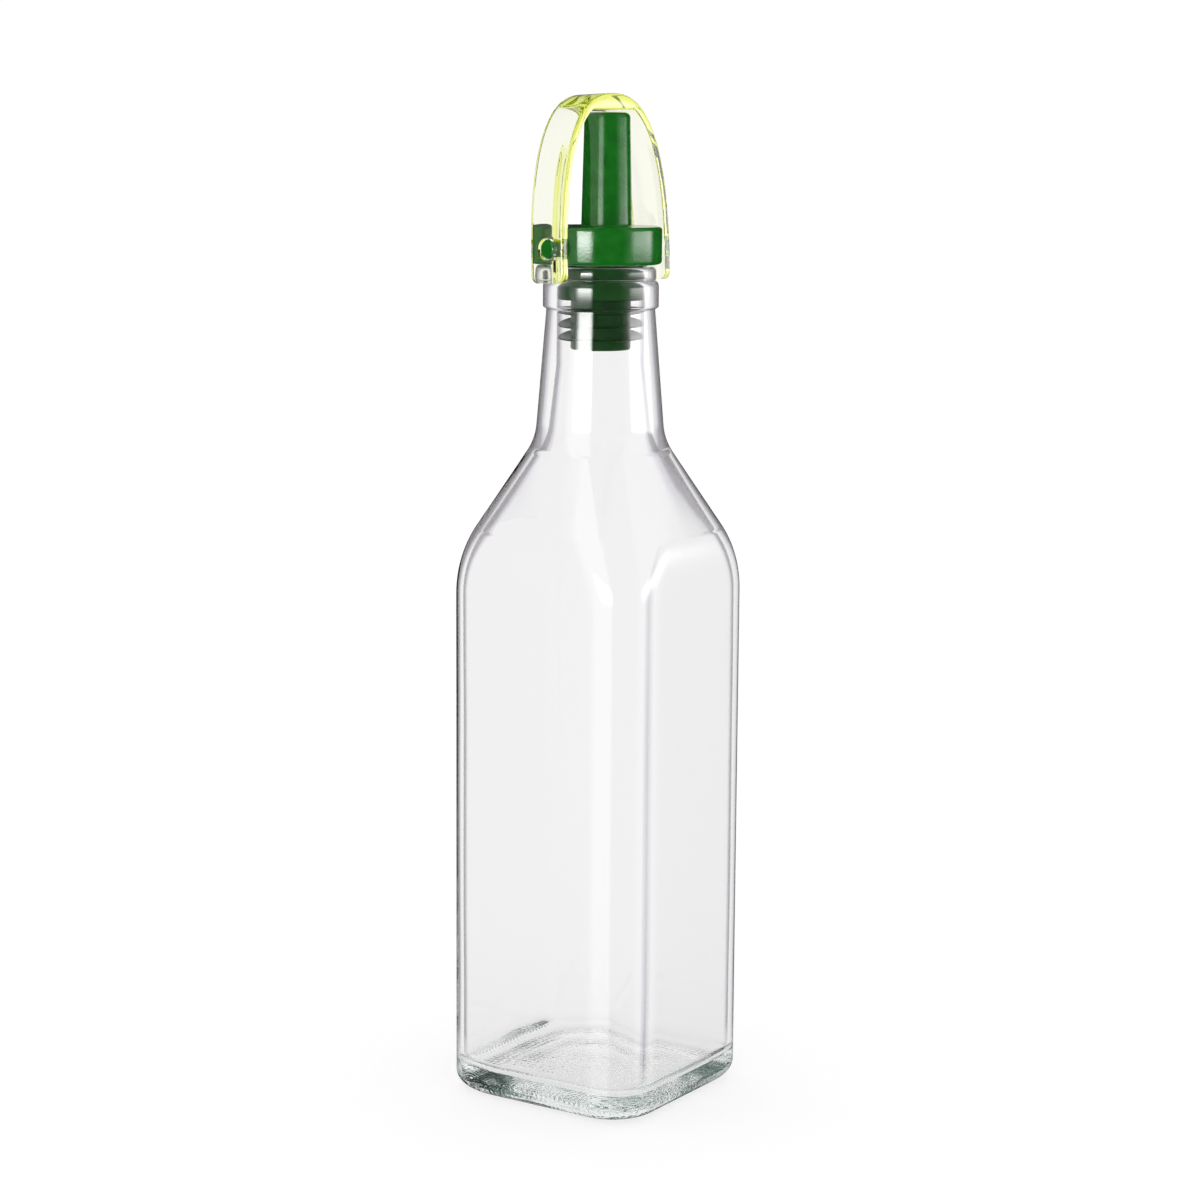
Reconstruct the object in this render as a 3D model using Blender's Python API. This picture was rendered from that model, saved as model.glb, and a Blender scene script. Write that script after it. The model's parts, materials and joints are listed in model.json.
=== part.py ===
"""Square glass oil bottle with a push-in pourer and a clear swing cap.

The bottle stands on z = 0, its axis is +Z and its flat sides face X and Y. The pourer
pushes into the neck as one unit: a rigid body with collar, spout and pivot pins, and a
soft ribbed stopper pressed into the collar from below. The swing cap is a bent band of
clear plastic whose legs turn on the pourer's two pins. It rests a few degrees open.

The pourer and cap are modelled with the pivot axis along their own Y, and an empty turns
them on the bottle. Lengths are metres.
"""

import math

import bmesh
import bpy
from mathutils import Matrix, Vector

MM = 0.001
ARC_DEVIATION = 0.06 * MM
ROUND_STEPS = 40
SMOOTH_LIMIT = math.radians(35.0)

# Bottle: a rounded square body, a shoulder that turns it round, and a cork-finish neck.
BODY_HALF = 32.4 * MM
BODY_CORNER = 12.0 * MM
WALL = 3.0 * MM
INSIDE_CORNER = 9.5 * MM
HEEL_RADIUS = 5.5 * MM
INSIDE_HEEL_RADIUS = 4.5 * MM
BEARING_WIDTH = 2.6 * MM
PUNT_HEIGHT = 2.6 * MM
FLOOR_HEIGHT = 7.0 * MM
FLOOR_CROWN = 1.2 * MM
BODY_TOP = 144.5 * MM
SHOULDER_ARC = 33.0 * MM
SHOULDER_SLOPE = math.radians(34.6)
NECK_ARC = 16.0 * MM
NECK_TAPER = math.radians(4.7)
NECK_WALL = 3.5 * MM
NECK_TOP_RADIUS = 15.2 * MM
BEAD_BOTTOM = 224.4 * MM
BEAD_TOP = 231.9 * MM
BEAD_RADIUS = 16.2 * MM
GROOVE_RADIUS = 14.8 * MM
LIP_BOTTOM = 232.8 * MM
LIP_TOP = 236.1 * MM
LIP_RADIUS = 15.5 * MM
BORE_RADIUS = 12.35 * MM
BORE_DEPTH = 27.0 * MM
CORNER_STEPS = 9
SHOULDER_SOFTNESS = 5.0 * MM
ROUND_REACH = 16.0 * MM

# Pourer body: collar, off-centre spout, bosses and pins.
POURER_TURN = math.radians(-10.7)
COLLAR_RADIUS = 17.0 * MM
COLLAR_BOTTOM = 236.7 * MM
COLLAR_TOP = 247.2 * MM
COLLAR_ROUNDING = 0.9 * MM
SOCKET_RADIUS = 12.6 * MM
SOCKET_TOP = 243.2 * MM
SPOUT_OFFSET = 2.1 * MM
SPOUT_FOOT_RADIUS = 7.1 * MM
SPOUT_TIP_RADIUS = 6.35 * MM
SPOUT_TOP = 278.45 * MM
SPOUT_ROUNDING = 1.1 * MM
CHANNEL_RADIUS = 4.6 * MM
CHANNEL_TOP = 276.6 * MM
ORIFICE_RADIUS = 2.5 * MM
VENT_RADIUS = 0.7 * MM
VENT_OFFSET = -5.9 * MM

# Ribbed stopper: a wide plug in the mouth and a tube with three thin fins.
PLUG_RADIUS = 12.0 * MM
PLUG_BOTTOM = 227.0 * MM
STOPPER_TOP = 242.8 * MM
STOPPER_BOTTOM = 212.9 * MM
TUBE_RADIUS = 8.4 * MM
TUBE_BORE_RADIUS = 6.6 * MM
POCKET_RADII = (8.2 * MM, 10.8 * MM)
POCKET_BOTTOM = 228.8 * MM
FIN_HEIGHTS = (222.9 * MM, 219.2 * MM, 215.7 * MM)
FIN_THICKNESS = 0.55 * MM

# Swing cap: a band bent into a tall arch, pivoting on the pins.
PIVOT_HEIGHT = 241.2 * MM
PIN_RADIUS = 2.75 * MM
PIN_REACH = 21.3 * MM
BOSS_RADIUS = 4.0 * MM
BOSS_REACH = 18.4 * MM
PIN_CLEARANCE = 0.3 * MM
CAP_HALF_SPAN = 21.6 * MM
CAP_THICKNESS = 2.3 * MM
CAP_WIDTH = 12.6 * MM
CAP_LEG_BOTTOM = 231.9 * MM
CAP_LEG_TOP = 235.0 * MM
CAP_APEX = 283.5 * MM
CAP_SEAT = 279.0 * MM
CAP_FULLNESS = 2.37
CAP_LEAN = math.radians(3.2)
CAP_CHAMFER = 0.7 * MM
CAP_INNER_CHAMFER = 0.3 * MM
CAP_LEG_ROUNDING = 2.2 * MM
CAP_RIB_HALF_WIDTH = 2.2 * MM
CAP_RIB_HEIGHT = 0.5 * MM
CAP_RIB_TOP = 272.0 * MM
CAP_RIB_RUNOUT = 6.0 * MM
CAP_ARCH_STEPS = 36
CAP_ROUNDING_STEPS = 4


def clear_scene():
    for item in list(bpy.data.objects):
        bpy.data.objects.remove(item)


def make_material(name, colour, roughness, transmission=0.0, ior=1.5):
    material = bpy.data.materials.new(name)
    material.use_nodes = True
    shader = material.node_tree.nodes["Principled BSDF"]
    shader.inputs["Base Color"].default_value = (*colour, 1.0)
    shader.inputs["Roughness"].default_value = roughness
    shader.inputs["Metallic"].default_value = 0.0
    shader.inputs["Transmission Weight"].default_value = transmission
    shader.inputs["IOR"].default_value = ior
    return material


def shade_round(mesh):
    mesh.shade_smooth()
    mesh.set_sharp_from_angle(angle=SMOOTH_LIMIT)


def finish_mesh(bm, name):
    """Turn a bmesh into a linked object with outward faces and smooth round surfaces."""
    bmesh.ops.recalc_face_normals(bm, faces=bm.faces)
    mesh = bpy.data.meshes.new(name)
    bm.to_mesh(mesh)
    bm.free()
    shade_round(mesh)
    item = bpy.data.objects.new(name, mesh)
    bpy.context.collection.objects.link(item)
    return item


def combine(target, tool, operation):
    """Apply a Boolean of tool to target and delete the tool."""
    modifier = target.modifiers.new(operation.lower(), "BOOLEAN")
    modifier.operation = operation
    modifier.solver = "EXACT"
    modifier.object = tool
    bpy.context.view_layer.objects.active = target
    bpy.ops.object.modifier_apply(modifier=modifier.name)
    bpy.data.objects.remove(tool)


def rounded_path(corners):
    """Points along straight runs between corners (x, z, radius), each corner an arc."""
    points = []
    for index, (x, z, radius) in enumerate(corners):
        here = Vector((x, z))
        if radius <= 0.0 or index in (0, len(corners) - 1):
            points.append(here)
            continue
        before = (Vector(corners[index - 1][:2]) - here).normalized()
        after = (Vector(corners[index + 1][:2]) - here).normalized()
        turn = math.pi - before.angle(after)
        reach = radius * math.tan(turn / 2.0)
        centre = here + (before + after).normalized() * (radius / math.cos(turn / 2.0))
        start = here + before * reach - centre
        end = here + after * reach - centre
        side = math.copysign(turn, start.x * end.y - start.y * end.x)
        arc_step = 2.0 * math.acos(1.0 - ARC_DEVIATION / radius)
        steps = max(2, math.ceil(turn / arc_step))
        for step in range(steps + 1):
            angle = side * step / steps
            points.append(centre + Matrix.Rotation(angle, 2) @ start)
    return points


def turned_solid(name, corners, centre_x=0.0):
    """Solid turned about a vertical axis through centre_x.

    Its outline is a list of corners (radius, z, rounding).
    """
    outline = rounded_path(corners)
    bm = bmesh.new()
    verts = [bm.verts.new((point.x, 0.0, point.y)) for point in outline]
    edges = [bm.edges.new(pair) for pair in zip(verts, verts[1:])]
    if outline[0].x > 0.0:
        edges.append(bm.edges.new((verts[-1], verts[0])))
    bmesh.ops.spin(
        bm,
        geom=verts + edges,
        cent=(0.0, 0.0, 0.0),
        axis=(0.0, 0.0, 1.0),
        angle=math.tau,
        steps=ROUND_STEPS,
        use_merge=True,
    )
    bmesh.ops.remove_doubles(bm, verts=bm.verts, dist=0.001 * MM)
    bmesh.ops.translate(bm, verts=bm.verts, vec=(centre_x, 0.0, 0.0))
    return finish_mesh(bm, name)


def rod_along_y(name, radius, reach, height):
    """Rod of the given radius along Y from -reach to +reach, at a height on the axis."""
    bm = bmesh.new()
    place = Matrix.Translation((0.0, 0.0, height)) @ Matrix.Rotation(math.pi / 2.0, 4, "X")
    bmesh.ops.create_cone(
        bm,
        cap_ends=True,
        segments=32,
        radius1=radius,
        radius2=radius,
        depth=2.0 * reach,
        matrix=place,
    )
    return finish_mesh(bm, name)


# ---------------------------------------------------------------- glass bottle


def square_from_diagonal(reach, half_side, corner):
    """Section (half side, corner radius) whose corners reach a given distance from the axis.

    Near the neck the section is a circle of that radius. Lower down the sides ease towards
    half_side while the corners go on out, until the corner radius has shrunk to corner.
    """
    squareness = (reach - ROUND_REACH) / (half_side - ROUND_REACH)
    if squareness <= 0.02:
        return reach, reach
    softness = SHOULDER_SOFTNESS * min(squareness, 1.0)
    side = -softness * math.log(math.exp(-reach / softness) + math.exp(-half_side / softness))
    full_reach = (half_side - corner) * math.sqrt(2.0) + corner
    side += (half_side - side) * max(0.0, (reach - half_side) / (full_reach - half_side)) ** 2
    rounding = (math.sqrt(2.0) * side - reach) / (math.sqrt(2.0) - 1.0)
    return side, min(rounding, side)


def shoulder_corners(neck_radius, neck_height, body_reach, body_height, arc, neck_arc):
    """Outline corners (reach, z, rounding) from the straight body to the tapering neck."""
    slope = math.tan(SHOULDER_SLOPE)
    taper = math.tan(NECK_TAPER)
    knee_height = body_height + arc * math.tan(SHOULDER_SLOPE / 2.0)
    meet = (body_reach + slope * knee_height - neck_radius - taper * neck_height) / (slope - taper)
    meet_reach = neck_radius + taper * (neck_height - meet)
    return [(body_reach, knee_height, arc), (meet_reach, meet, neck_arc)]


def bottle_sections():
    """Rings (z, half side, corner radius) up the outside, over the lip and down the inside."""
    rings = []
    foot_half = BODY_HALF - HEEL_RADIUS
    punt_half = foot_half - BEARING_WIDTH
    for part in (0.3, 0.6, 0.85):
        rings.append((PUNT_HEIGHT * (1.0 - part**2), punt_half * part, punt_half * part * 0.45))
    rings.append((0.0, punt_half, BODY_CORNER * 0.9))
    heel = [(foot_half, 0.0, 0.0), (BODY_HALF, 0.0, HEEL_RADIUS), (BODY_HALF, 0.5 * BODY_TOP, 0.0)]
    rings += [(p.y, p.x, BODY_CORNER) for p in rounded_path(heel)]

    reach = (BODY_HALF - BODY_CORNER) * math.sqrt(2.0) + BODY_CORNER
    outside = [(reach, 0.5 * BODY_TOP, 0.0)]
    outside += shoulder_corners(NECK_TOP_RADIUS, BEAD_BOTTOM, reach, BODY_TOP, SHOULDER_ARC, NECK_ARC)
    outside += [
        (NECK_TOP_RADIUS, BEAD_BOTTOM, 0.0),
        (BEAD_RADIUS, BEAD_BOTTOM + 0.3 * MM, 0.8 * MM),
        (BEAD_RADIUS, BEAD_TOP, 2.4 * MM),
        (GROOVE_RADIUS, LIP_BOTTOM - 0.1 * MM, 0.3 * MM),
        (LIP_RADIUS, LIP_BOTTOM, 0.4 * MM),
        (LIP_RADIUS, LIP_TOP, 1.3 * MM),
        (BORE_RADIUS, LIP_TOP, 0.8 * MM),
        (BORE_RADIUS, LIP_TOP - BORE_DEPTH, 0.0),
    ]
    for point in rounded_path(outside)[1:]:
        rings.append((point.y, *square_from_diagonal(point.x, BODY_HALF, BODY_CORNER)))

    inside_half = BODY_HALF - WALL
    reach = (inside_half - INSIDE_CORNER) * math.sqrt(2.0) + INSIDE_CORNER
    top_reach = NECK_TOP_RADIUS - NECK_WALL
    inside = shoulder_corners(
        top_reach, BEAD_BOTTOM, reach, BODY_TOP, SHOULDER_ARC - WALL, NECK_ARC + NECK_WALL
    )
    inside = [(BORE_RADIUS, LIP_TOP - BORE_DEPTH, 0.0)] + inside[::-1]
    inside.append((reach, 0.5 * BODY_TOP, 0.0))
    for point in rounded_path(inside)[1:]:
        rings.append((point.y, *square_from_diagonal(point.x, inside_half, INSIDE_CORNER)))

    floor_half = inside_half - INSIDE_HEEL_RADIUS
    heel = [
        (inside_half, 0.5 * BODY_TOP, 0.0),
        (inside_half, FLOOR_HEIGHT, INSIDE_HEEL_RADIUS),
        (floor_half, FLOOR_HEIGHT, 0.0),
    ]
    rings += [(p.y, p.x, INSIDE_CORNER) for p in rounded_path(heel)[1:-1]]
    for part in (0.8, 0.5, 0.25):
        crown = FLOOR_HEIGHT + FLOOR_CROWN * (1.0 - part**2)
        rings.append((crown, floor_half * part, floor_half * part * 0.45))
    return rings


def ring_points(height, half_side, corner):
    """Corners of a rounded square: an even run of points on each of its four arcs."""
    points = []
    centre = half_side - corner
    outside = corner / math.cos(math.pi / 4.0 / CORNER_STEPS)
    for quarter in range(4):
        turn = Matrix.Rotation(quarter * math.pi / 2.0, 3, "Z")
        for step in range(CORNER_STEPS):
            angle = (step + 0.5) / CORNER_STEPS * math.pi / 2.0
            point = Vector((centre + outside * math.cos(angle), centre + outside * math.sin(angle), height))
            points.append(turn @ point)
    return points


def make_glass_bottle():
    bm = bmesh.new()
    sections = bottle_sections()
    rings = [[bm.verts.new(point) for point in ring_points(*section)] for section in sections]
    for lower, upper in zip(rings, rings[1:]):
        for index, vert in enumerate(lower):
            following = (index + 1) % len(lower)
            bm.faces.new((vert, lower[following], upper[following], upper[index]))
    ends = (
        (rings[0], PUNT_HEIGHT),
        (rings[-1], FLOOR_HEIGHT + FLOOR_CROWN),
    )
    for ring, height in ends:
        centre = bm.verts.new((0.0, 0.0, height))
        for index, vert in enumerate(ring):
            bm.faces.new((vert, ring[(index + 1) % len(ring)], centre))
    bottle = finish_mesh(bm, "glass_bottle")
    bottle.data.materials.append(make_material("clear_glass", (0.97, 0.99, 0.98), 0.02, 1.0, 1.52))
    return bottle


# ---------------------------------------------------------------- pourer


def make_pourer_body():
    collar = [
        (0.0, COLLAR_TOP, 0.0),
        (COLLAR_RADIUS, COLLAR_TOP, COLLAR_ROUNDING),
        (COLLAR_RADIUS, COLLAR_BOTTOM, COLLAR_ROUNDING),
        (0.0, COLLAR_BOTTOM, 0.0),
    ]
    spout = [
        (0.0, SPOUT_TOP, 0.0),
        (SPOUT_TIP_RADIUS, SPOUT_TOP, SPOUT_ROUNDING),
        (SPOUT_FOOT_RADIUS, COLLAR_TOP - 1.5 * MM, 0.0),
        (0.0, COLLAR_TOP - 1.5 * MM, 0.0),
    ]
    channel = [
        (0.0, SPOUT_TOP + 1.0 * MM, 0.0),
        (ORIFICE_RADIUS, SPOUT_TOP + 1.0 * MM, 0.0),
        (ORIFICE_RADIUS, CHANNEL_TOP, 0.0),
        (CHANNEL_RADIUS, CHANNEL_TOP, 0.0),
        (CHANNEL_RADIUS, SOCKET_TOP - 1.0 * MM, 0.0),
        (0.0, SOCKET_TOP - 1.0 * MM, 0.0),
    ]
    vent = [
        (0.0, COLLAR_TOP + 1.0 * MM, 0.0),
        (VENT_RADIUS, COLLAR_TOP + 1.0 * MM, 0.0),
        (VENT_RADIUS, SOCKET_TOP - 1.0 * MM, 0.0),
        (0.0, SOCKET_TOP - 1.0 * MM, 0.0),
    ]
    body = turned_solid("pourer_body", collar)
    combine(body, turned_solid("spout", spout, SPOUT_OFFSET), "UNION")
    combine(body, rod_along_y("bosses", BOSS_RADIUS, BOSS_REACH, PIVOT_HEIGHT), "UNION")
    combine(body, rod_along_y("pins", PIN_RADIUS, PIN_REACH, PIVOT_HEIGHT), "UNION")
    socket = [
        (0.0, SOCKET_TOP, 0.0),
        (SOCKET_RADIUS, SOCKET_TOP, 0.0),
        (SOCKET_RADIUS, COLLAR_BOTTOM - 1.0 * MM, 0.0),
        (0.0, COLLAR_BOTTOM - 1.0 * MM, 0.0),
    ]
    combine(body, turned_solid("socket", socket), "DIFFERENCE")
    combine(body, turned_solid("channel", channel, SPOUT_OFFSET), "DIFFERENCE")
    combine(body, turned_solid("vent", vent, VENT_OFFSET), "DIFFERENCE")
    shade_round(body.data)
    body.data.materials.append(make_material("green_polypropylene", (0.009, 0.135, 0.014), 0.3))
    return body


def make_ribbed_stopper():
    pocket_inner, pocket_outer = POCKET_RADII
    outline = [
        (TUBE_BORE_RADIUS, STOPPER_TOP, 0.0),
        (pocket_inner, STOPPER_TOP, 0.0),
        (pocket_inner, POCKET_BOTTOM, 0.0),
        (pocket_outer, POCKET_BOTTOM, 0.0),
        (pocket_outer, STOPPER_TOP, 0.0),
        (PLUG_RADIUS, STOPPER_TOP, 0.0),
        (PLUG_RADIUS, PLUG_BOTTOM, 0.5 * MM),
        (TUBE_RADIUS, PLUG_BOTTOM, 0.0),
    ]
    for height in FIN_HEIGHTS:
        outline += [
            (TUBE_RADIUS, height + 0.5 * FIN_THICKNESS, 0.0),
            (PLUG_RADIUS, height + 0.35 * FIN_THICKNESS, 0.0),
            (PLUG_RADIUS, height - 0.35 * FIN_THICKNESS, 0.0),
            (TUBE_RADIUS, height - 0.5 * FIN_THICKNESS, 0.0),
        ]
    outline += [
        (TUBE_RADIUS, STOPPER_BOTTOM + 1.2 * MM, 0.0),
        (TUBE_RADIUS - 0.5 * MM, STOPPER_BOTTOM, 0.0),
        (TUBE_BORE_RADIUS, STOPPER_BOTTOM, 0.0),
    ]
    stopper = turned_solid("ribbed_stopper", outline)
    stopper.data.materials.append(make_material("green_polyethylene", (0.011, 0.14, 0.018), 0.4))
    return stopper


# ---------------------------------------------------------------- swing cap


def cap_stations():
    """Stations along the band from one leg's foot over the top to the other's.

    Each is (outer point, inner point, half width) with points in the Y-Z plane.
    """
    inner_span = CAP_HALF_SPAN - CAP_THICKNESS
    half_width = CAP_WIDTH / 2.0
    legs = []
    for step in range(CAP_ROUNDING_STEPS + 1):
        angle = math.pi / 2.0 * step / CAP_ROUNDING_STEPS
        height = CAP_LEG_BOTTOM + CAP_LEG_ROUNDING * (1.0 - math.cos(angle))
        legs.append((height, half_width - CAP_LEG_ROUNDING * (1.0 - math.sin(angle))))

    stations = []
    for height, width in legs:
        stations.append((Vector((CAP_HALF_SPAN, height)), Vector((inner_span, height)), width))
    rise = CAP_APEX - CAP_LEG_TOP
    power = 2.0 / CAP_FULLNESS
    for step in range(CAP_ARCH_STEPS + 1):
        angle = math.pi * step / CAP_ARCH_STEPS
        across = math.copysign(abs(math.cos(angle)) ** power, math.cos(angle))
        up = math.sin(angle) ** power if 0 < step < CAP_ARCH_STEPS else 0.0
        outer = Vector((CAP_HALF_SPAN * across, CAP_LEG_TOP + rise * up))
        inner = Vector((inner_span * across, CAP_LEG_TOP + (rise - CAP_THICKNESS) * up))
        inner.y = min(inner.y, CAP_SEAT)
        stations.append((outer, inner, half_width))
    for height, width in reversed(legs):
        stations.append((Vector((-CAP_HALF_SPAN, height)), Vector((-inner_span, height)), width))
    return stations


def band_section(outer, inner, half_width):
    """Closed outline of the band across one station: chamfered outside, ribbed inside."""
    through = (outer - inner).normalized()
    runout = (CAP_RIB_TOP - inner.y) / CAP_RIB_RUNOUT
    rib = CAP_RIB_HEIGHT * min(max(runout, 0.0), 1.0)
    rib_half = CAP_RIB_HALF_WIDTH
    half_outline = [
        (rib_half - CAP_RIB_HEIGHT, inner - through * rib),
        (rib_half, inner),
        (half_width - CAP_INNER_CHAMFER, inner),
        (half_width, inner + through * CAP_INNER_CHAMFER),
        (half_width, outer - through * CAP_CHAMFER),
        (half_width - 0.3 * CAP_CHAMFER, outer - through * 0.3 * CAP_CHAMFER),
        (half_width - CAP_CHAMFER, outer),
    ]
    points = [Vector((x, point.x, point.y)) for x, point in half_outline]
    points += [Vector((-x, point.x, point.y)) for x, point in reversed(half_outline)]
    return points


def make_swing_cap():
    bm = bmesh.new()
    rings = []
    for station in cap_stations():
        rings.append([bm.verts.new(point) for point in band_section(*station)])
    for first, second in zip(rings, rings[1:]):
        for index, vert in enumerate(first):
            following = (index + 1) % len(first)
            bm.faces.new((vert, first[following], second[following], second[index]))
    bm.faces.new(rings[0])
    bm.faces.new(rings[-1])
    cap = finish_mesh(bm, "swing_cap")
    hole_reach = CAP_HALF_SPAN + 2.0 * MM
    hole = rod_along_y("holes", PIN_RADIUS + PIN_CLEARANCE, hole_reach, PIVOT_HEIGHT)
    combine(cap, hole, "DIFFERENCE")
    shade_round(cap.data)
    cap.data.materials.append(make_material("clear_lime_plastic", (0.86, 0.9, 0.3), 0.06, 0.95, 1.57))
    lean = Matrix.Rotation(-CAP_LEAN, 4, "Y")
    cap.data.transform(lean @ Matrix.Translation((0.0, 0.0, -PIVOT_HEIGHT)))
    return cap


def add_empty(name, location, parent=None):
    empty = bpy.data.objects.new(name, None)
    bpy.context.collection.objects.link(empty)
    empty.location = location
    empty.parent = parent
    return empty


def main():
    clear_scene()
    make_glass_bottle()
    pourer = add_empty("pourer_frame", (0.0, 0.0, 0.0))
    pourer.rotation_euler.z = POURER_TURN
    pivot = add_empty("cap_pivot", (0.0, 0.0, PIVOT_HEIGHT), pourer)
    make_pourer_body().parent = pourer
    make_ribbed_stopper().parent = pourer
    make_swing_cap().parent = pivot
    bpy.context.view_layer.update()


main()
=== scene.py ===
"""Looks of the glass oil bottle: fine meshes, materials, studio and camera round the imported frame.

Everything is in metres in the part's own frame: the bottle stands on z = 0 with its axis on +Z.
The pourer and cap are made with the pivot axis on Y and turned on the bottle afterwards.
"""

import json
import math

import bmesh
import bpy
from mathutils import Matrix, Vector, noise


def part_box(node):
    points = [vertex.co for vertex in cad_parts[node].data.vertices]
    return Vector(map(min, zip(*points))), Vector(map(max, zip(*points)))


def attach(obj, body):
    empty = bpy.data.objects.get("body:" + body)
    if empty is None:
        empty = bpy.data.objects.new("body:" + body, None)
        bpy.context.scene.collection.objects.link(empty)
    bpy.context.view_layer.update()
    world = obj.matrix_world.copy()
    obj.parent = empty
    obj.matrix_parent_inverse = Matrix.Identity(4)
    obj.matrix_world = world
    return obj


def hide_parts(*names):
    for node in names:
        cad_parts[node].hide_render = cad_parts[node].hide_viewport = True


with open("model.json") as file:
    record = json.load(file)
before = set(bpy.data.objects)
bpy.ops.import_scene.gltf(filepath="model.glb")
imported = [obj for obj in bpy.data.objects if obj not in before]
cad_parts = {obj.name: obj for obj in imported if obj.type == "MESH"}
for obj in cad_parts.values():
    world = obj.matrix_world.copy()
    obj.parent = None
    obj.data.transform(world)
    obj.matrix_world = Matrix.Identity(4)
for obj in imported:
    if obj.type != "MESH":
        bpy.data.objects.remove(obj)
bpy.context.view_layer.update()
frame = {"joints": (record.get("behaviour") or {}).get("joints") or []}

MM = 0.001

# Bottle, from the CAD box and the part's own driving sizes. Only the inside corner is smaller.
BOTTLE_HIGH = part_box("glass_bottle")[1]
BODY_HALF = BOTTLE_HIGH.x
LIP_TOP = BOTTLE_HIGH.z
BODY_CORNER = 12.0 * MM
WALL = 3.0 * MM
INSIDE_CORNER = 7.8 * MM
HEEL_RADIUS = 5.5 * MM
INSIDE_HEEL_RADIUS = 4.5 * MM
BEARING_WIDTH = 2.6 * MM
PUNT_HEIGHT = 2.6 * MM
PUNT_FULLNESS = 2.4
PUNT_CORNER = 0.42
FLOOR_HEIGHT = 7.0 * MM
FLOOR_CROWN = 1.2 * MM
BODY_TOP = 144.5 * MM
STRAIGHT_LOW = 0.15
STRAIGHT_HIGH = 0.9
SHOULDER_ARC = 33.0 * MM
SHOULDER_SLOPE = math.radians(34.6)
SHOULDER_SOFTNESS = 5.0 * MM
ROUND_REACH = 16.0 * MM
NECK_ARC = 16.0 * MM
NECK_TAPER = math.radians(4.7)
NECK_WALL = 3.5 * MM
NECK_TOP_RADIUS = 15.2 * MM
BEAD_BOTTOM = LIP_TOP - 11.7 * MM
BEAD_TOP = LIP_TOP - 4.2 * MM
BEAD_RADIUS = 16.2 * MM
GROOVE_RADIUS = 14.8 * MM
LIP_BOTTOM = LIP_TOP - 3.3 * MM
LIP_RADIUS = 15.5 * MM
BORE_RADIUS = 12.35 * MM
BORE_DEPTH = 27.0 * MM
RING_STEPS = 320
RING_SMOOTHING = 10
FLOOR_ZONE = 12.0 * MM
WALL_WAVE = 0.35 * MM
FLOOR_WAVE = 0.5 * MM

# Swing cap, on its hinge in the frame.
HINGE = next(joint for joint in frame["joints"] if joint["name"] == "cap_swing")
PIVOT_HEIGHT = HINGE["pos_m"][2]
POURER_TURN = math.atan2(HINGE["axis"][0], -HINGE["axis"][1])
CAP_LEAN = math.radians(2.2)
CAP_APEX = 283.5 * MM
CAP_LEG_BOTTOM = 231.9 * MM
CAP_LEG_TOP = 235.0 * MM
CAP_HALF_SPAN = 21.6 * MM
CAP_THICKNESS = 2.3 * MM
CAP_WIDTH = 12.6 * MM
CAP_SEAT = 279.0 * MM
CAP_FULLNESS = 2.5
CAP_ROUNDING = 0.8 * MM
CAP_INNER_ROUNDING = 0.35 * MM
CAP_LEG_ROUNDING = 2.2 * MM
CAP_RIB_HALF_WIDTH = 2.2 * MM
CAP_RIB_SLOPE = 0.6 * MM
CAP_RIB_HEIGHT = 0.45 * MM
CAP_RIB_TOP = 272.0 * MM
CAP_RIB_RUNOUT = 6.0 * MM
CAP_ARCH_STEPS = 120
CAP_ARCH_EASE = 0.35
CAP_SHARP = math.radians(40.0)
PIN_HOLE_RADIUS = 3.05 * MM

# Pourer: collar, off-centre spout and pins; stopper: plug, tube and fins.
COLLAR_RADIUS = 17.0 * MM
COLLAR_BOTTOM = 236.7 * MM
COLLAR_TOP = 247.2 * MM
COLLAR_ROUNDING = 1.1 * MM
SOCKET_RADIUS = 12.6 * MM
SOCKET_TOP = 243.2 * MM
SPOUT_OFFSET = 2.1 * MM
SPOUT_FOOT_RADIUS = 7.1 * MM
SPOUT_TIP_RADIUS = 6.35 * MM
SPOUT_TOP = 278.45 * MM
CHANNEL_RADIUS = 4.6 * MM
CHANNEL_TOP = 276.6 * MM
ORIFICE_RADIUS = 2.5 * MM
VENT_RADIUS = 0.7 * MM
VENT_OFFSET = -5.9 * MM
PIN_RADIUS = 2.75 * MM
PIN_REACH = 21.3 * MM
BOSS_RADIUS = 4.0 * MM
BOSS_REACH = 18.4 * MM
PLUG_RADIUS = 12.0 * MM
PLUG_BOTTOM = 227.0 * MM
STOPPER_TOP = 242.8 * MM
STOPPER_BOTTOM = 212.9 * MM
TUBE_RADIUS = 8.4 * MM
TUBE_BORE_RADIUS = 6.6 * MM
FIN_HEIGHTS = (222.9 * MM, 219.2 * MM, 215.7 * MM)
FIN_ROOT = 0.32 * MM
FIN_EDGE = 0.16 * MM
FIN_BEND = 2.2 * MM
FIN_BEND_BEARING = 2.2
TOOL_OVERRUN = 1.0 * MM
TURN_STEPS = 180

# Camera: distance from the bottle's axis, height, bearing and lens of the product shot.
CAMERA_DISTANCE = 809.5 * MM
CAMERA_HEIGHT = 271.9 * MM
CAMERA_BEARING = math.radians(33.75)
CAMERA_PITCH = math.radians(8.86)
CAMERA_ROLL = math.radians(0.39)
CAMERA_LENS = 86.6
CAMERA_SENSOR = 36.0
CAMERA_SHIFT = (0.00095, -0.01158)

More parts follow.
